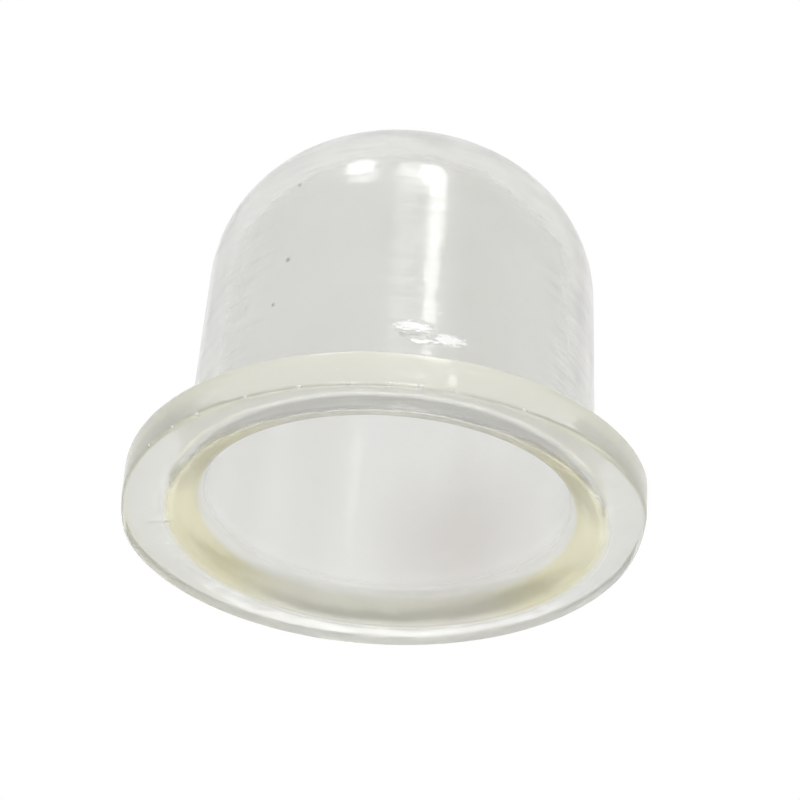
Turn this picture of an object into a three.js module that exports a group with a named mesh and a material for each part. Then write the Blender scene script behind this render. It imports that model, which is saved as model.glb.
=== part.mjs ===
import * as THREE from 'three';
import { mergeVertices } from 'three/addons/utils/BufferGeometryUtils.js';

// Primer bulb: a clear, soft dome on a clamping flange, moulded in one piece and open below.
// Millimetres, +Z up. The origin is on the dome's axis, in the plane that the flange rests on.

// Flange: a flat ring that a retainer clamps down by its rim
const FLANGE_RADIUS = 11;
const FLANGE_THICKNESS = 1.6;
const RIM_ROUND = 0.2;

// The mould's two side halves met out of line: the rim of the far half (+Y) lies this far towards -X
const MOULD_SLIP = 0.38;
const MOULD_LINE_TURN = THREE.MathUtils.degToRad(-8);
const MOULD_LINE_BLEND = 0.16;

// Dome: a drafted wall, a shoulder arc and a flatter crown arc, all of one wall thickness
const DOME_HEIGHT = 17.9;
const DOME_RADIUS = 8.35;
const SHOULDER_RADIUS = 6.1;
const CROWN_RADIUS = 10.6;
const WALL = 1.05;
const WALL_DRAFT = THREE.MathUtils.degToRad(1.8);

// Root fillet outside, where the wall stands on the flange, and the wide flare of the mouth inside
const ROOT_FILLET = 0.8;
const MOUTH_FLARE = 1.6;

// Smoothness of the revolved surface
const SEGMENTS = 72;
const CROWN_STEPS = 8;
const SHOULDER_STEPS = 10;
const FILLET_STEPS = 5;
const FLARE_STEPS = 8;
const RIM_STEPS = 2;

const UP = Math.PI / 2;
const DOWN = -Math.PI / 2;
const OUTWARD = 0;
const INWARD = -Math.PI;

// Points on an arc in the (radius, height) plane, both ends included
function arc(centre, radius, from, to, steps) {
  const points = [];
  for (let i = 0; i <= steps; i++) {
    const angle = from + ((to - from) * i) / steps;
    const spoke = new THREE.Vector2(Math.cos(angle), Math.sin(angle)).multiplyScalar(radius);
    points.push(spoke.add(centre));
  }
  return points;
}

// The dome's arcs share their centres inside and out, so the wall is even from the flange to the crown
const crownCentre = new THREE.Vector2(0, DOME_HEIGHT - CROWN_RADIUS);
const shoulderOffset = DOME_RADIUS - SHOULDER_RADIUS;
const shoulderRise = Math.sqrt((CROWN_RADIUS - SHOULDER_RADIUS) ** 2 - shoulderOffset ** 2);
const shoulderCentre = new THREE.Vector2(shoulderOffset, crownCentre.y + shoulderRise);
const shoulderEnd = Math.atan2(shoulderRise, shoulderOffset);

// Radius of the drafted wall at a height, on the skin that lies `inset` inside the outer one
function wallRadius(height, inset) {
  const startRadius = shoulderOffset + (SHOULDER_RADIUS - inset) * Math.cos(WALL_DRAFT);
  const startHeight = shoulderCentre.y + (SHOULDER_RADIUS - inset) * Math.sin(WALL_DRAFT);
  return startRadius + (startHeight - height) * Math.tan(WALL_DRAFT);
}

// Crown and shoulder of one skin, from the axis down to the drafted wall
function capOutline(inset) {
  const crown = arc(crownCentre, CROWN_RADIUS - inset, UP, shoulderEnd, CROWN_STEPS);
  const shoulder = arc(shoulderCentre, SHOULDER_RADIUS - inset, shoulderEnd, WALL_DRAFT, SHOULDER_STEPS);
  crown[0].x = 0;
  return [...crown, ...shoulder.slice(1)];
}

// An arc that leads a skin of the wall into a level face below it, tangent to both
function footOutline(faceHeight, radius, inset, steps) {
  const height = faceHeight + radius;
  const centre = new THREE.Vector2(wallRadius(height, inset) + radius / Math.cos(WALL_DRAFT), height);
  return arc(centre, radius, INWARD + WALL_DRAFT, DOWN, steps);
}

// The rounded edge of the flange, from its underside to its top
function rimOutline() {
  const inner = FLANGE_RADIUS - RIM_ROUND;
  const lower = new THREE.Vector2(inner, RIM_ROUND);
  const upper = new THREE.Vector2(inner, FLANGE_THICKNESS - RIM_ROUND);
  return [
    ...arc(lower, RIM_ROUND, DOWN, OUTWARD, RIM_STEPS),
    ...arc(upper, RIM_ROUND, OUTWARD, UP, RIM_STEPS),
  ];
}

// The whole section: down the inside of the dome, out along the underside and up the outside
function sectionOutline() {
  const inside = [...capOutline(WALL), ...footOutline(0, MOUTH_FLARE, WALL, FLARE_STEPS)];
  const outside = [...capOutline(0), ...footOutline(FLANGE_THICKNESS, ROOT_FILLET, 0, FILLET_STEPS)];
  return [...inside, ...rimOutline(), ...outside.reverse()];
}

// A revolve meets itself in a seam and has slivers on its axis: points joined, slivers left out
function closed(geometry) {
  geometry.deleteAttribute('normal');
  geometry.deleteAttribute('uv');
  const merged = mergeVertices(geometry, 1e-5);
  const corners = merged.index.array;
  const kept = [];
  for (let i = 0; i < corners.length; i += 3) {
    const [a, b, c] = corners.slice(i, i + 3);
    if (a !== b && b !== c && c !== a) kept.push(a, b, c);
  }
  merged.setIndex(kept);
  return merged;
}

// Moves the rim of the far half along the mould line, blended over a short turn at the line's two ends
function slipRim(geometry) {
  const points = geometry.attributes.position;
  const inner = FLANGE_RADIUS - RIM_ROUND - 0.001;
  for (let i = 0; i < points.count; i++) {
    const x = points.getX(i);
    const y = points.getY(i);
    if (Math.hypot(x, y) < inner) continue;
    const across = Math.sin(Math.atan2(y, x) - MOULD_LINE_TURN);
    const share = (1 + Math.tanh(across / MOULD_LINE_BLEND)) / 2;
    points.setX(i, x - MOULD_SLIP * share * Math.cos(MOULD_LINE_TURN));
    points.setY(i, y - MOULD_SLIP * share * Math.sin(MOULD_LINE_TURN));
  }
}

function bulbGeometry() {
  const lathe = new THREE.LatheGeometry(sectionOutline(), SEGMENTS);
  lathe.rotateX(UP);
  const geometry = closed(lathe);
  slipRim(geometry);
  geometry.computeVertexNormals();
  return geometry;
}

// Clear soft plastic, faintly yellow
const clearPlastic = new THREE.MeshStandardMaterial({
  color: 0xe6e4d2,
  roughness: 0.15,
  metalness: 0,
  transparent: true,
  opacity: 0.45,
  side: THREE.DoubleSide,
});

const bulb = new THREE.Mesh(bulbGeometry(), clearPlastic);
bulb.name = 'primer_bulb';

const part = new THREE.Group();
part.add(bulb);

export default part;
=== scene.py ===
"""A clear primer bulb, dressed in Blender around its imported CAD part.

The bulb is one hollow moulding. Its visible shell is spun from the same section as the CAD node that it
replaces, with many more steps, because clear plastic shows every facet twice. Everything is in metres,
+Z up, and the origin is on the dome's axis in the plane that the flange rests on.
"""

import logging
import math
from dataclasses import dataclass, field
from enum import Enum

import bpy
from mathutils import Matrix, Vector


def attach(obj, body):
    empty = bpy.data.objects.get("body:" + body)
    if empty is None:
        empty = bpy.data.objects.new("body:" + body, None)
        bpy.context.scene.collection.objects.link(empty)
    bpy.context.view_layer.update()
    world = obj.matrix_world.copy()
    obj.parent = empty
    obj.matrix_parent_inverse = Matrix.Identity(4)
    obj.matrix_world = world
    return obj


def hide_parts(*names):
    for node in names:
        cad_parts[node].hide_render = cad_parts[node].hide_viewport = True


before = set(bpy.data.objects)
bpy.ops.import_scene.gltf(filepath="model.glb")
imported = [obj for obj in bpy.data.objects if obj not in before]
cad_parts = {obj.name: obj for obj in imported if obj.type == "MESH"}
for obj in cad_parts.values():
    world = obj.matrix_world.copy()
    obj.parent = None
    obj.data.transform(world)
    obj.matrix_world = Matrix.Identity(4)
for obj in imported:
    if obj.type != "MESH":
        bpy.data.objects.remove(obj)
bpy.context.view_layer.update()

MM = 0.001
UP = math.pi / 2
DOWN = -math.pi / 2
OUTWARD = 0.0
INWARD = -math.pi
BULB_NODE = "primer_bulb"
LIGHT_BOUNCES = 16

log = logging.getLogger("primer_bulb")

Colour = tuple[float, float, float, float]
Point = tuple[float, float, float]
Span = tuple[float, float]

# Turn of the mould line that shows on the flange
MOULD_LINE = math.radians(-16.5)

# Middle of the painted shade: a darker, warmer patch on the far side of the wall
FAR_SHADE_CENTRE: Point = (3.2 * MM, 6.8 * MM, 3.5 * MM)

# Strokes of the scuff and its painted highlight: middle, how much each axis is squeezed, faded radius
SCUFF_AND_HIGHLIGHT_STROKES: tuple[tuple[Point, Point, float], ...] = (
    ((0.55 * MM, -8.50 * MM, 4.40 * MM), (0.50, 0.50, 1.6), 0.80 * MM),
    ((2.05 * MM, -8.25 * MM, 3.95 * MM), (0.55, 0.55, 1.4), 0.70 * MM),
    ((0.90 * MM, -8.45 * MM, 3.70 * MM), (0.50, 0.50, 1.8), 0.45 * MM),
)

# Specks of dust on the wall: middle, full radius, faded radius
DUST_SPECKS: tuple[tuple[Point, float, float], ...] = (
    ((-4.54 * MM, -6.92 * MM, 12.07 * MM), 0.05 * MM, 0.12 * MM),
    ((-4.74 * MM, -6.97 * MM, 8.22 * MM), 0.05 * MM, 0.16 * MM),
    ((-5.19 * MM, -6.74 * MM, 6.12 * MM), 0.04 * MM, 0.12 * MM),
    ((-6.23 * MM, -5.95 * MM, 2.44 * MM), 0.05 * MM, 0.13 * MM),
)


class Reach(Enum):
    """Which way a soft edge of a mask goes."""

    RISING = "rising"
    FALLING = "falling"


class Face(Enum):
    """The outline of a lamp's face, by Blender's names."""

    OBLONG = "RECTANGLE"
    OVAL = "ELLIPSE"


class Wire:
    """An output socket that takes part in Python arithmetic."""

    def __init__(self, graph: "Graph", socket: bpy.types.NodeSocket) -> None:
        """Keeps the socket and the graph that it belongs to."""
        self.graph = graph
        self.socket = socket

    def _math(self, operation: str, first: "Wire | float", second: "Wire | float") -> "Wire":
        """Adds one Math node.

        Args:
            operation: The Math node's operation.
            first: The node's first input.
            second: The node's second input.

        Returns:
            The node's result.
        """
        return self.graph.node("ShaderNodeMath", {"operation": operation}, {0: first, 1: second})

    def __add__(self, other: "Wire | float") -> "Wire":
        """Adds a wire or a number."""
        return self._math("ADD", self, other)

    def __radd__(self, other: float) -> "Wire":
        """Adds this wire to a number."""
        return self._math("ADD", other, self)

    def __sub__(self, other: "Wire | float") -> "Wire":
        """Takes away a wire or a number."""
        return self._math("SUBTRACT", self, other)

    def __rsub__(self, other: float) -> "Wire":
        """Takes this wire away from a number."""
        return self._math("SUBTRACT", other, self)

    def __mul__(self, other: "Wire | float") -> "Wire":
        """Multiplies by a wire or a number."""
        return self._math("MULTIPLY", self, other)

    def __rmul__(self, other: float) -> "Wire":
        """Multiplies a number by this wire."""
        return self._math("MULTIPLY", other, self)

    def __pow__(self, other: "Wire | float") -> "Wire":
        """Raises to a power."""
        return self._math("POWER", self, other)

    def __abs__(self) -> "Wire":
        """Drops the sign."""
        return self._math("ABSOLUTE", self, 0.0)


class Graph:
    """One node tree, with a single method that adds any node to it."""

    def __init__(self, tree: bpy.types.NodeTree) -> None:
        """Empties the tree and keeps it."""
        self.tree = tree
        tree.nodes.clear()

    def node(self, kind: str, settings: dict, inputs: dict, output: int | str = 0) -> Wire:
        """Adds a node, sets it up and links it.

        Args:
            kind: The node's type.
            settings: Properties that are set before any socket, such as an operation.
            inputs: A value or a wire for each input socket, by its name or number.
            output: The socket that the returned wire starts from.

        Returns:
            A wire from the chosen output.
        """
        node = self.tree.nodes.new(kind)
        for name, value in settings.items():
            setattr(node, name, value)
        for name, value in inputs.items():
            if isinstance(value, Wire):
                self.tree.links.new(value.socket, node.inputs[name])
            else:
                node.inputs[name].default_value = value
        socket = node.outputs[output] if len(node.outputs) else None
        return Wire(self, socket)

    def split(self, vector: Wire) -> tuple[Wire, Wire, Wire]:
        """Splits a vector into its three parts."""
        parts = self.node("ShaderNodeSeparateXYZ", {}, {0: vector})
        return tuple(Wire(self, socket) for socket in parts.socket.node.outputs)

    def edge(self, value: Wire, low: float, high: float, reach: Reach = Reach.RISING) -> Wire:
        """Makes a soft edge of a mask.

        Args:
            value: What the mask is drawn over, such as a radius.
            low: Where the edge begins.
            high: Where the edge ends.
            reach: Whether the mask is full above the edge or below it.

        Returns:
            A wire from 0 to 1.
        """
        ends = (0.0, 1.0) if reach is Reach.RISING else (1.0, 0.0)
        settings = {"interpolation_type": "SMOOTHSTEP"}
        return self.node(
            "ShaderNodeMapRange", settings, {0: value, 1: low, 2: high, 3: ends[0], 4: ends[1]}
        )

    def spot(self, place: Wire, centre: Point, inner: float, outer: float) -> Wire:
        """Makes a soft round mask about a point of the surface.

        Args:
            place: The surface's position.
            centre: The middle of the spot.
            inner: The radius within which the mask is full.
            outer: The radius beyond which it is empty.

        Returns:
            A wire from 0 to 1.
        """
        settings = {"operation": "DISTANCE"}
        distance = self.node("ShaderNodeVectorMath", settings, {0: place, 1: centre}, "Value")
        return self.edge(distance, inner, outer, Reach.FALLING)

    def noise(self, place: Wire, scale: float, detail: float = 2.0, rough: float = 0.5) -> Wire:
        """Makes a noise pattern.

        Args:
            place: The position that it is read at.
            scale: Its features per metre.
            detail: How many finer layers it has.
            rough: How strong the finer layers are.

        Returns:
            A wire from 0 to 1.
        """
        inputs = {"Vector": place, "Scale": scale, "Detail": detail, "Roughness": rough}
        return self.node("ShaderNodeTexNoise", {}, inputs)

    def stretched(self, place: Wire, scale: Point) -> Wire:
        """Scales a position differently along each axis."""
        return self.node("ShaderNodeMapping", {}, {"Vector": place, "Scale": scale})

    def blend(self, share: Wire | float, first: Wire | Colour, second: Wire | Colour) -> Wire:
        """Mixes two colours.

        Args:
            share: How much of the second colour shows.
            first: The colour at 0.
            second: The colour at 1.

        Returns:
            The mixed colour.
        """
        settings = {"data_type": "RGBA", "blend_type": "MIX"}
        return self.node("ShaderNodeMix", settings, {0: share, 6: first, 7: second}, 2)


@dataclass(frozen=True)
class ClearPlastic:
    """Clear soft polyurethane: faintly yellow, glossy, a little hazy, yellower where it is thick."""

    name: str = "clear_plastic"
    body: Colour = (0.893, 0.897, 0.882, 1.0)
    thick: Colour = (0.80, 0.75, 0.42, 1.0)
    drawn: Colour = (0.85, 0.845, 0.825, 1.0)
    # painted shade: the darker, warmer colour of the patch on the far wall
    far_shade: Colour = (0.77, 0.745, 0.72, 1.0)
    rim: Colour = (0.88, 0.88, 0.76, 1.0)
    dust: Colour = (0.42, 0.42, 0.42, 1.0)
    # partly haze, partly painted light: the whitened colour that is mixed into the flange
    milky_painted_light: Colour = (0.98, 0.98, 0.90, 1.0)
    # painted highlight: the white that the scuff is painted with
    scuff_and_highlight_part: Colour = (0.98, 0.98, 0.98, 1.0)
    clearness: float = 0.84
    bend: float = 1.49
    gloss_low: float = 0.06
    gloss_high: float = 0.22
    gloss_scale: float = 700.0
    flare_gloss: float = 0.06
    flange_painted_light: float = 0.27
    scuff_highlight_share: float = 0.85
    white_rough: float = 0.4
    stain: Colour = (1.0, 0.985, 0.86, 1.0)
    stain_density: float = 45.0
    ring_inner: Span = (7.75 * MM, 8.0 * MM)
    ring_outer: Span = (9.0 * MM, 9.4 * MM)
    ring_height: Span = (0.5 * MM, 1.0 * MM)
    ring_sides: Span = (3.5 * MM, 7.0 * MM)
    ring_least: float = 0.3
    rim_edge: Span = (10.6 * MM, 10.95 * MM)
    rim_share: float = 0.8
    streak_share: float = 0.8
    far_shade_reach: float = 5.5 * MM
    flare_height: Span = (0.9 * MM, 1.6 * MM)
    flare_edge: Span = (8.9 * MM, 9.3 * MM)
    flange_edge: Span = (9.0 * MM, 9.6 * MM)
    torn_stretch: Point = (0.6, 0.8, 1.5)
    torn_scale: float = 4200.0
    torn_edge: Span = (0.65, 0.88)
    peel_scale: float = 380.0
    peel_depth: float = 0.045
    band_stretch: Point = (1.0, 1.0, 0.12)
    band_scale: float = 420.0
    band_depth: float = 0.05
    ripple_stretch: Point = (0.12, 0.12, 1.0)
    ripple_scale: float = 2400.0
    ripple_depth: float = 0.013
    scuff_depth: float = 0.03
    line_width: Span = (0.02 * MM, 0.16 * MM)
    line_start: Span = (9.2 * MM, 9.8 * MM)
    line_depth: float = 0.007

    def material(self) -> bpy.types.Material:
        """Makes the material of the whole shell.

        Returns:
            The finished material.
        """
        made = bpy.data.materials.new(self.name)
        made.use_nodes = True
        graph = Graph(made.node_tree)
        place = graph.node("ShaderNodeTexCoord", {}, {}, "Object")
        x, y, z = graph.split(place)
        radius = (x * x + y * y) ** 0.5
        colour = self.colour(graph, place, x, radius, z)
        shader = graph.node(
            "ShaderNodeBsdfPrincipled",
            {},
            {
                "Base Color": colour,
                "Roughness": self.gloss(graph, place, radius, z),
                "IOR": self.bend,
                "Transmission Weight": self.clearness,
                "Normal": self.surface(graph, place, x, y, radius),
            },
        )
        stain = graph.node(
            "ShaderNodeVolumeAbsorption", {}, {"Color": self.stain, "Density": self.stain_density}
        )
        # painted highlight: the scuff mask whitens the shell where the window's reflection spreads, low on
        # the near wall
        scuff_and_highlight = self.scuff_and_highlight(graph, place)
        milky_and_highlight = graph.blend(scuff_and_highlight, graph.blend(0.5, colour, self.milky_painted_light), self.scuff_and_highlight_part)
        whitened = graph.node(
            "ShaderNodeBsdfPrincipled",
            {},
            {"Base Color": milky_and_highlight, "Roughness": self.white_rough, "IOR": self.bend},
        )
        # the flange's whitened share is partly haze and partly painted light, which lightens its dark arcs
        whitened_share = scuff_and_highlight * self.scuff_highlight_share + self.flange(graph, radius, z) * self.flange_painted_light
        both = graph.node("ShaderNodeMixShader", {}, {0: whitened_share, 1: shader, 2: whitened})
        graph.node("ShaderNodeOutputMaterial", {}, {"Surface": both, "Volume": stain})
        return made

    def colour(self, graph: Graph, place: Wire, x: Wire, radius: Wire, height: Wire) -> Wire:
        """Colours the shell.

        Args:
            graph: The material's nodes.
            place: The surface's position.
            x: Its first part.
            radius: The distance from the axis.
            height: The height above the flange's underside.

        Returns:
            The base colour.
        """
        low = graph.edge(height, *self.ring_height, Reach.FALLING)
        inside = graph.edge(radius, *self.ring_outer, Reach.FALLING)
        ring = graph.edge(radius, *self.ring_inner) * inside * low
        edge = graph.edge(radius, *self.rim_edge)
        cloud = graph.noise(place, 260.0)
        sideways = self.ring_least + (1 - self.ring_least) * graph.edge(abs(x), *self.ring_sides)
        streaks = graph.edge(graph.noise(graph.stretched(place, (1.0, 1.0, 0.1)), 330.0, 1.0), 0.4, 0.75)
        coloured = graph.blend(self.streak_share * streaks, self.body, self.drawn)
        # painted shade: darkens and warms a patch of the far wall, seen through the mouth
        far_shade_mask = graph.spot(place, FAR_SHADE_CENTRE, 0.0, self.far_shade_reach)
        coloured = graph.blend(far_shade_mask, coloured, self.far_shade)
        coloured = graph.blend(ring * sideways * (0.7 + 0.6 * cloud), coloured, self.thick)
        coloured = graph.blend(edge * self.rim_share, coloured, self.rim)
        for centre, inner, outer in DUST_SPECKS:
            coloured = graph.blend(graph.spot(place, centre, inner, outer), coloured, self.dust)
        return coloured

    def gloss(self, graph: Graph, place: Wire, radius: Wire, height: Wire) -> Wire:
        """Makes the roughness: glossy, unevenly so, and a little duller on the flare.

        Args:
            graph: The material's nodes.
            place: The surface's position.
            radius: The distance from the axis.
            height: The height above the flange's underside.

        Returns:
            The roughness.
        """
        uneven = graph.noise(place, self.gloss_scale, 4.0)
        base = self.gloss_low + (self.gloss_high - self.gloss_low) * uneven
        return base + self.flare_gloss * self.flare(graph, radius, height)

    def flare(self, graph: Graph, radius: Wire, height: Wire) -> Wire:
        """Masks the flare of the mouth, inside the flange."""
        low = graph.edge(height, *self.flare_height, Reach.FALLING)
        return low * graph.edge(radius, *self.flare_edge, Reach.FALLING)

    def flange(self, graph: Graph, radius: Wire, height: Wire) -> Wire:
        """Masks the flange with its flare, which is thick: a whitened, milkier share there is partly haze
        and partly painted light that lightens its dark arcs.
        """
        outside = graph.edge(radius, *self.flange_edge)
        return outside + (1 - outside) * self.flare(graph, radius, height)

    def scuff_and_highlight(self, graph: Graph, place: Wire) -> Wire:
        """Masks the ragged scuff on the near side of the wall, whose whitened colour is a painted
        highlight: the window's reflection, spread low on the near wall.

        Args:
            graph: The material's nodes.
            place: The surface's position.

        Returns:
            A wire from 0 to 1.
        """
        patch: Wire | float = 0.0
        for centre, scale, reach in SCUFF_AND_HIGHLIGHT_STROKES:
            middle = tuple(part * share for part, share in zip(centre, scale))
            patch = graph.spot(graph.stretched(place, scale), middle, 0.0, reach) + patch
        torn = graph.noise(graph.stretched(place, self.torn_stretch), self.torn_scale, 6.0, 0.8)
        return graph.edge(patch * 0.5 + torn, *self.torn_edge)

    def surface(self, graph: Graph, place: Wire, x: Wire, y: Wire, radius: Wire) -> Wire:
        """Makes the fine relief: orange peel, drawn bands, ripples, the scuff and the mould line.

        Args:
            graph: The material's nodes.
            place: The surface's position.
            x: Its first part.
            y: Its second part.
            radius: The distance from the axis.

        Returns:
            The normal.
        """
        peel = graph.noise(place, self.peel_scale, 3.0) * self.peel_depth
        drawn = graph.stretched(place, self.band_stretch)
        bands = graph.noise(drawn, self.band_scale, 1.0) * self.band_depth
        rippled = graph.stretched(place, self.ripple_stretch)
        ripples = graph.noise(rippled, self.ripple_scale, 1.0) * self.ripple_depth
        scuff_and_highlight_part = self.scuff_and_highlight(graph, place) * self.scuff_depth
        across = abs(x * math.sin(MOULD_LINE) - y * math.cos(MOULD_LINE))
        on_flange = graph.edge(radius, *self.line_start)
        line = graph.edge(across, *self.line_width, Reach.FALLING) * on_flange * self.line_depth
        height = peel + bands + ripples + scuff_and_highlight_part + line
        return graph.node("ShaderNodeBump", {}, {"Strength": 1.0, "Distance": 1.0 * MM, "Height": height})


@dataclass(frozen=True)
class FlashWithPaintedGlints:
    """Torn flash at the mould's edges: the same plastic, whitened, which paints a glint on each crumb and
    mark.
    """

    name: str = "flash_glint_plastic"
    glint_white: Colour = (1.0, 1.0, 0.99, 1.0)
    dull: Colour = (0.9, 0.9, 0.88, 1.0)
    clearness: float = 0.05
    bend: float = 1.49
    rough: float = 0.3
    grain_scale: float = 9000.0
    grain_dulls: float = 0.3
    grain_roughens: float = 0.2

    def material(self) -> bpy.types.Material:
        """Makes the material of the small white marks, whose white is a painted glint."""
        made = bpy.data.materials.new(self.name)
        made.use_nodes = True
        graph = Graph(made.node_tree)
        place = graph.node("ShaderNodeTexCoord", {}, {}, "Object")
        grain = graph.noise(place, self.grain_scale, 3.0)
        # painted glint: the crumbs and marks are coloured white rather than lit into glints
        shader = graph.node(
            "ShaderNodeBsdfPrincipled",
            {},
            {
                "Base Color": graph.blend(grain * self.grain_dulls, self.glint_white, self.dull),
                "Roughness": self.rough + self.grain_roughens * grain,
                "IOR": self.bend,
                "Transmission Weight": self.clearness,
            },
        )
        graph.node("ShaderNodeOutputMaterial", {}, {"Surface": shader})
        return made


def start_fresh() -> None:
    """Leaves nothing selected, so that an operator acts on the new primitive alone."""
    if bpy.context.object and bpy.context.object.mode != "OBJECT":
        bpy.ops.object.mode_set(mode="OBJECT")
    bpy.ops.object.select_all(action="DESELECT")


def settle(piece: bpy.types.Object, name: str) -> None:
    """Names a piece and moves its place into its mesh.

    Args:
        piece: The selected, active object.
        name: Its name.
    """
    bpy.ops.object.transform_apply(location=True, rotation=True, scale=True)
    piece.name = name
    piece.data.name = name


@dataclass
class BulbShell:
    """The dome and its flange: one section spun about the axis, with the far half of the rim slipped."""

    flange_radius: float = 11.0 * MM
    flange_thickness: float = 1.6 * MM
    rim_round: float = 0.2 * MM
    slip: float = 0.38 * MM
    slip_turn: float = math.radians(-8)
    slip_blend: float = 0.16
    dome_height: float = 17.9 * MM
    dome_radius: float = 8.35 * MM
    shoulder_radius: float = 6.1 * MM
    crown_radius: float = 10.6 * MM
    wall: float = 1.05 * MM
    draft: float = math.radians(1.8)
    root_fillet: float = 0.8 * MM
    mouth_flare: float = 1.6 * MM
    turns: int = 192
    crown_steps: int = 18
    shoulder_steps: int = 24
    flare_steps: int = 16
    fillet_steps: int = 10
    rim_steps: int = 5
    join_within: float = 0.002 * MM
    crease: float = math.radians(35)
    finish: ClearPlastic = field(default_factory=ClearPlastic)

    def arc(self, centre: Vector, radius: float, start: float, end: float, steps: int) -> list[Vector]:
        """Gives points on an arc of the section.

        Args:
            centre: The arc's centre, as radius and height.
            radius: Its radius.
            start: The angle of its first point.
            end: The angle of its last point.
            steps: How many steps it has.

        Returns:
            The points, both ends included.
        """
        angles = [start + (end - start) * step / steps for step in range(steps + 1)]
        return [centre + radius * Vector((math.cos(angle), math.sin(angle))) for angle in angles]

    @property
    def crown_centre(self) -> Vector:
        """Gives the centre of the crown's arc."""
        return Vector((0, self.dome_height - self.crown_radius))

    @property
    def shoulder_centre(self) -> Vector:
        """Gives the centre of the shoulder's arc, which touches the crown's arc from inside."""
        offset = self.dome_radius - self.shoulder_radius
        rise = math.sqrt((self.crown_radius - self.shoulder_radius) ** 2 - offset**2)
        return Vector((offset, self.crown_centre.y + rise))

    def cap(self, inset: float) -> list[Vector]:
        """Gives crown and shoulder of one skin, from the axis down to the wall.

        Args:
            inset: How far the skin lies inside the outer one.

        Returns:
            The skin's points.
        """
        towards = self.shoulder_centre - self.crown_centre
        meet = math.atan2(towards.y, towards.x)
        turned = self.shoulder_radius - inset
        crown = self.arc(self.crown_centre, self.crown_radius - inset, UP, meet, self.crown_steps)
        shoulder = self.arc(self.shoulder_centre, turned, meet, self.draft, self.shoulder_steps)
        crown[0].x = 0
        return crown + shoulder[1:]

    def foot(self, face: float, radius: float, inset: float, steps: int) -> list[Vector]:
        """Gives the arc that leads a skin of the wall into a level face.

        Args:
            face: The height of the face.
            radius: The arc's radius.
            inset: How far the skin lies inside the outer one.
            steps: How many steps the arc has.

        Returns:
            The arc's points, from the wall to the face.
        """
        height = face + radius
        skin = self.shoulder_radius - inset
        start = self.shoulder_centre + skin * Vector((math.cos(self.draft), math.sin(self.draft)))
        wall = start.x + (start.y - height) * math.tan(self.draft)
        centre = Vector((wall + radius / math.cos(self.draft), height))
        return self.arc(centre, radius, INWARD + self.draft, DOWN, steps)

    def section(self) -> list[Vector]:
        """Gives the whole section, down the inside, out along the underside and up the outside.

        Returns:
            The section's points.
        """
        inner = self.flange_radius - self.rim_round
        lower = Vector((inner, self.rim_round))
        upper = Vector((inner, self.flange_thickness - self.rim_round))
        inside = self.cap(self.wall) + self.foot(0, self.mouth_flare, self.wall, self.flare_steps)
        rim_below = self.arc(lower, self.rim_round, DOWN, OUTWARD, self.rim_steps)
        rim_above = self.arc(upper, self.rim_round, OUTWARD, UP, self.rim_steps)
        outside = self.cap(0) + self.foot(self.flange_thickness, self.root_fillet, 0, self.fillet_steps)
        return inside + rim_below + rim_above + outside[::-1]

    def build(self) -> bpy.types.Object:
        """Draws the section as a chain of edges and spins it.

        Returns:
            The shell.
        """
        start_fresh()
        points = [Vector((point.x, 0, point.y)) for point in self.section()]
        bpy.ops.mesh.primitive_plane_add(size=1.0 * MM, location=points[0])
        shell = bpy.context.object
        bpy.ops.object.transform_apply(location=True, rotation=True, scale=True)
        bpy.ops.object.mode_set(mode="EDIT")
        bpy.ops.mesh.select_mode(type="VERT")
        bpy.ops.mesh.select_all(action="SELECT")
        bpy.ops.mesh.merge(type="CENTER")
        for before, after in zip(points, points[1:]):
            move = {"value": after - before}
            bpy.ops.mesh.extrude_vertices_move(TRANSFORM_OT_translate=move)
        bpy.ops.mesh.select_all(action="SELECT")
        bpy.ops.mesh.spin(steps=self.turns, angle=math.tau, center=(0, 0, 0), axis=(0, 0, 1))
        bpy.ops.mesh.select_all(action="SELECT")
        bpy.ops.mesh.remove_doubles(threshold=self.join_within)
        bpy.ops.mesh.normals_make_consistent(inside=False)
        bpy.ops.object.mode_set(mode="OBJECT")
        self.slip_rim(shell)
        bpy.ops.object.shade_smooth_by_angle(angle=self.crease)
        settle(shell, "bulb_shell")
        return shell

    def slip_rim(self, shell: bpy.types.Object) -> None:
        """Moves the far half of the rim along the mould line, blended at the line's two ends.

        Args:
            shell: The spun shell.
        """
        group = "far_rim"
        far = shell.vertex_groups.new(name=group)
        inner = self.flange_radius - self.rim_round - 0.01 * MM
        for vertex in shell.data.vertices:
            x, y, _ = vertex.co
            if math.hypot(x, y) < inner:
                continue
            across = math.sin(math.atan2(y, x) - self.slip_turn)
            far.add([vertex.index], (1 + math.tanh(across / self.slip_blend)) / 2, "REPLACE")
        for axis, share in (("X", math.cos(self.slip_turn)), ("Y", math.sin(self.slip_turn))):
            push = shell.modifiers.new(f"slip_{axis}", "DISPLACE")
            push.direction = axis
            push.mid_level = 0.0
            push.strength = -self.slip * share
            push.vertex_group = group
            bpy.ops.object.modifier_apply(modifier=push.name)
        shell.vertex_groups.clear()

    def dress(self, shell: bpy.types.Object) -> None:
        """Gives the shell its material and its place in the frame.

        Args:
            shell: The spun shell.
        """
        shell.data.materials.clear()
        shell.data.materials.append(self.finish.material())
        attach(shell, "root")
        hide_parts(BULB_NODE)


@dataclass(frozen=True)
class Bead:
    """One crumb of flash: its middle, its half sizes across, along and up, and its turn in degrees."""

    place: Point
    half: Point
    turn: float = 0.0


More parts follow.
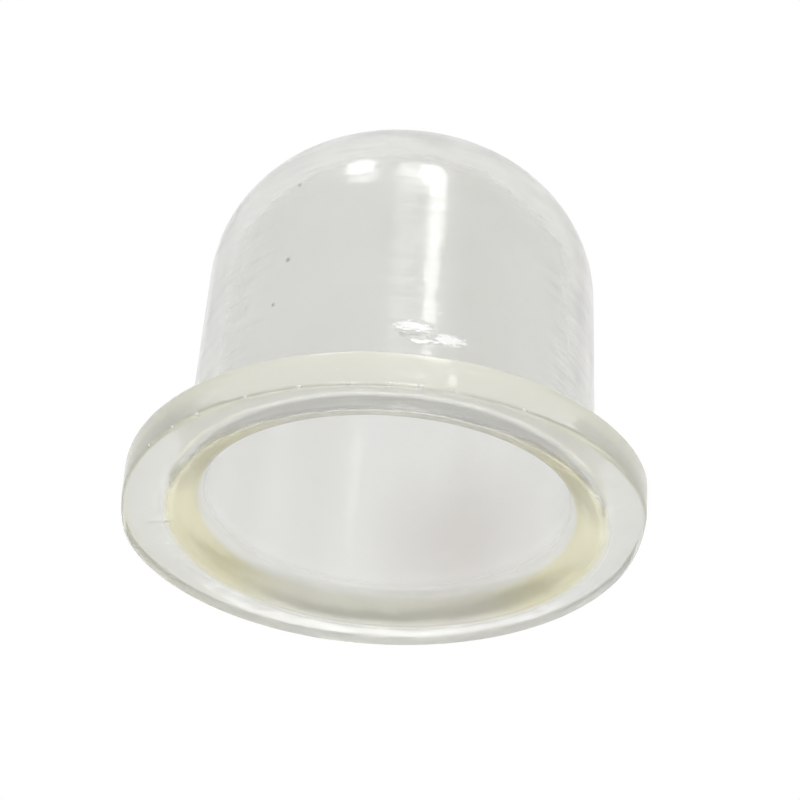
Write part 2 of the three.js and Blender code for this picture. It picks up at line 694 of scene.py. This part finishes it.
@dataclass
class RimFlash:
    """The crumbs of flash that the mould left on the rim's lower edge and at the ends of the mould line."""

    edge_radius: float = 10.95 * MM
    edge_height: float = 0.09 * MM
    crumb: float = 0.055 * MM
    edge_turns: tuple[float, ...] = (
        -152.3, -142.7, -134.8, -121.9, -109.8,
        -99.5, -91.0, -84.7, -77.5, -62.4,
    )
    flange_top: float = 1.6 * MM
    top_marks: tuple[Span, ...] = ((8.70, -3.68), (9.18, -3.26), (10.28, -3.00))
    mark_half: Point = (0.12 * MM, 0.05 * MM, 0.03 * MM)
    mark_turn: float = -17.0
    scratch: Span = (-9.55, 2.2)
    scratch_half: Point = (0.55 * MM, 0.05 * MM, 0.03 * MM)
    scratch_turn: float = 167.0
    crease: float = math.radians(40)
    finish: FlashWithPaintedGlints = field(default_factory=FlashWithPaintedGlints)

    def beads(self) -> list[Bead]:
        """Gives every crumb.

        Returns:
            The crumbs of the rim, then the marks and the scratch on the flange's top.
        """
        made = []
        for number, turn in enumerate(self.edge_turns):
            angle = math.radians(turn)
            x, y = self.edge_radius * math.cos(angle), self.edge_radius * math.sin(angle)
            size = self.crumb * (0.8 + 0.4 * ((number * 7) % 5) / 4)
            made.append(Bead((x, y, self.edge_height), (size, 1.8 * size, 0.8 * size), turn))
        for x, y in self.top_marks:
            made.append(Bead((x * MM, y * MM, self.flange_top), self.mark_half, self.mark_turn))
        x, y = self.scratch
        made.append(Bead((x * MM, y * MM, self.flange_top), self.scratch_half, self.scratch_turn))
        return made

    def build(self) -> bpy.types.Object:
        """Shapes each crumb from a small ball and joins them.

        Returns:
            All the crumbs as one object.
        """
        start_fresh()
        crumbs = []
        for bead in self.beads():
            bpy.ops.mesh.primitive_ico_sphere_add(subdivisions=2, radius=1.0, location=bead.place)
            crumb = bpy.context.object
            crumb.scale = bead.half
            crumb.rotation_euler.z = math.radians(bead.turn)
            crumbs.append(crumb)
        for crumb in crumbs:
            crumb.select_set(True)
        bpy.ops.object.transform_apply(location=True, rotation=True, scale=True)
        bpy.ops.object.join()
        flash = bpy.context.object
        bpy.ops.object.shade_smooth_by_angle(angle=self.crease)
        settle(flash, "rim_flash")
        return flash

    def dress(self, flash: bpy.types.Object) -> None:
        """Gives the crumbs their material and their place in the frame.

        Args:
            flash: The joined crumbs.
        """
        flash.data.materials.clear()
        flash.data.materials.append(self.finish.material())
        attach(flash, "root")


@dataclass(frozen=True)
class Softbox:
    """A lamp with a plain face that looks at the bulb and isn't seen itself."""

    name: str
    azimuth: float
    elevation: float
    distance: float
    width: float
    height: float
    radiance: float
    face: Face = Face.OBLONG
    aim: Point = (0.0, 0.0, 8.0 * MM)

    def build(self) -> bpy.types.Object:
        """Adds the lamp.

        Returns:
            The lamp.
        """
        start_fresh()
        turn, lift = math.radians(self.azimuth), math.radians(self.elevation)
        away = Vector((math.cos(lift) * math.cos(turn), math.cos(lift) * math.sin(turn), math.sin(lift)))
        place = Vector(self.aim) + self.distance * away
        facing = (-away).to_track_quat("-Z", "Y").to_euler()
        bpy.ops.object.light_add(type="AREA", location=place, rotation=facing)
        lamp = bpy.context.object
        lamp.name = self.name
        lamp.visible_camera = False
        lamp.data.shape = self.face.value
        lamp.data.size = self.width
        lamp.data.size_y = self.height
        lamp.data.energy = self.radiance * math.pi * self.width * self.height
        return lamp


@dataclass
class Studio:
    """A pale floor, a white surround and soft lamps."""

    floor_colour: Colour = (0.92, 0.92, 0.92, 1.0)
    floor_size: float = 1.2
    floor_height: float = -0.02 * MM
    floor_fade: Span = (0.05, 0.25)
    fill: float = 0.75
    lamps: tuple[Softbox, ...] = (
        Softbox("window", -72.0, 49.5, 0.25, 0.055, 0.115, 6.0, Face.OVAL),
        Softbox("window_soft", -86.0, 55.0, 0.25, 0.080, 0.080, 2.4, Face.OVAL),
        Softbox("window_sheen", -91.0, 48.0, 0.25, 0.070, 0.090, 1.3, Face.OVAL),
        Softbox("window_left", -128.0, 58.0, 0.25, 0.050, 0.060, 6.0, Face.OVAL),
        Softbox("mouth_streak", -65.7, 25.5, 0.25, 0.007, 0.030, 16.0),
        Softbox("rim_glow", 90.0, -26.0, 0.30, 0.060, 0.016, 5.0, Face.OVAL),
    )

    def build_floor(self) -> bpy.types.Object:
        """Adds the floor, which shows from above, fades at its edge and is clear from below.

        Returns:
            The floor.
        """
        start_fresh()
        bpy.ops.mesh.primitive_plane_add(size=self.floor_size, location=(0, 0, self.floor_height))
        floor = bpy.context.object
        settle(floor, "floor")
        made = bpy.data.materials.new("pale_floor")
        made.use_nodes = True
        graph = Graph(made.node_tree)
        seen = graph.node("ShaderNodeLightPath", {}, {}, "Is Camera Ray")
        below = graph.node("ShaderNodeNewGeometry", {}, {}, "Backfacing")
        x, y, _ = graph.split(graph.node("ShaderNodeTexCoord", {}, {}, "Object"))
        near = graph.edge((x * x + y * y) ** 0.5, *self.floor_fade, Reach.FALLING)
        pale = graph.node("ShaderNodeBsdfDiffuse", {}, {"Color": self.floor_colour})
        clear = graph.node("ShaderNodeBsdfTransparent", {}, {})
        both = graph.node("ShaderNodeMixShader", {}, {0: seen * (1 - below) * near, 1: clear, 2: pale})
        graph.node("ShaderNodeOutputMaterial", {}, {"Surface": both})
        floor.data.materials.append(made)
        return floor

    def build_surround(self) -> None:
        """Makes the world: white to the eye, in gloss and through glass, and a plain fill elsewhere."""
        world = bpy.data.worlds.new("surround")
        bpy.context.scene.world = world
        world.use_nodes = True
        graph = Graph(world.node_tree)
        path = graph.node("ShaderNodeLightPath", {}, {})
        rays = path.socket.node.outputs
        shown = Wire(graph, rays["Is Camera Ray"])
        shown = shown + Wire(graph, rays["Is Glossy Ray"]) + Wire(graph, rays["Is Transmission Ray"])
        white = (1.0, 1.0, 1.0, 1.0)
        fill = graph.node("ShaderNodeBackground", {}, {"Color": white, "Strength": self.fill})
        backdrop = graph.node("ShaderNodeBackground", {}, {"Color": white, "Strength": 1.0})
        both = graph.node("ShaderNodeMixShader", {}, {0: graph.edge(shown, 0.0, 1.0), 1: fill, 2: backdrop})
        graph.node("ShaderNodeOutputWorld", {}, {"Surface": both})

    def build(self) -> None:
        """Builds the floor, the surround and the lamps."""
        self.build_floor()
        self.build_surround()
        for lamp in self.lamps:
            lamp.build()


@dataclass
class Viewpoint:
    """The photograph's camera, fitted to the outline of the dome and the flange."""

    tilt: float = math.radians(31.7)
    roll: float = math.radians(-3.9)
    distance: float = 124.79 * MM
    shift_right: float = -0.59 * MM
    shift_up: float = -5.21 * MM
    lens: float = 135.0

    def build(self) -> bpy.types.Object:
        """Adds the camera and makes it the scene's.

        Returns:
            The camera.
        """
        start_fresh()
        bpy.ops.object.camera_add()
        camera = bpy.context.object
        camera.name = "photo_camera"
        camera.data.sensor_width = 36.0
        camera.data.lens = self.lens
        camera.data.clip_start = 1.0 * MM
        sine, cosine = math.sin(self.tilt), math.cos(self.tilt)
        tilted = Matrix(((1, 0, 0), (0, -sine, cosine), (0, -cosine, -sine)))
        seen = (Matrix.Rotation(self.roll, 3, "Z") @ tilted).to_4x4()
        seen.translation = Vector((self.shift_right, self.shift_up, -self.distance))
        camera.matrix_world = seen.inverted()
        bpy.context.scene.camera = camera
        return camera


def let_light_through(bounces: int) -> None:
    """Lets light that is caught between the walls bounce on until it leaves.

    Args:
        bounces: How many times a ray may bounce.
    """
    cycles = bpy.context.scene.cycles
    cycles.max_bounces = bounces
    cycles.glossy_bounces = bounces
    cycles.transmission_bounces = bounces


def main() -> None:
    """Builds the bulb, its flash, the studio and the camera, in that order."""
    logging.basicConfig(level=logging.INFO, format="%(name)s: %(message)s")
    bpy.context.scene.view_settings.view_transform = "Standard"
    let_light_through(LIGHT_BOUNCES)
    for maker in (BulbShell(), RimFlash()):
        piece = maker.build()
        maker.dress(piece)
        log.info("%s: %d faces", piece.name, len(piece.data.polygons))
    Studio().build()
    camera = Viewpoint().build()
    log.info("%s: in place", camera.name)


if __name__ == "__main__":
    main()
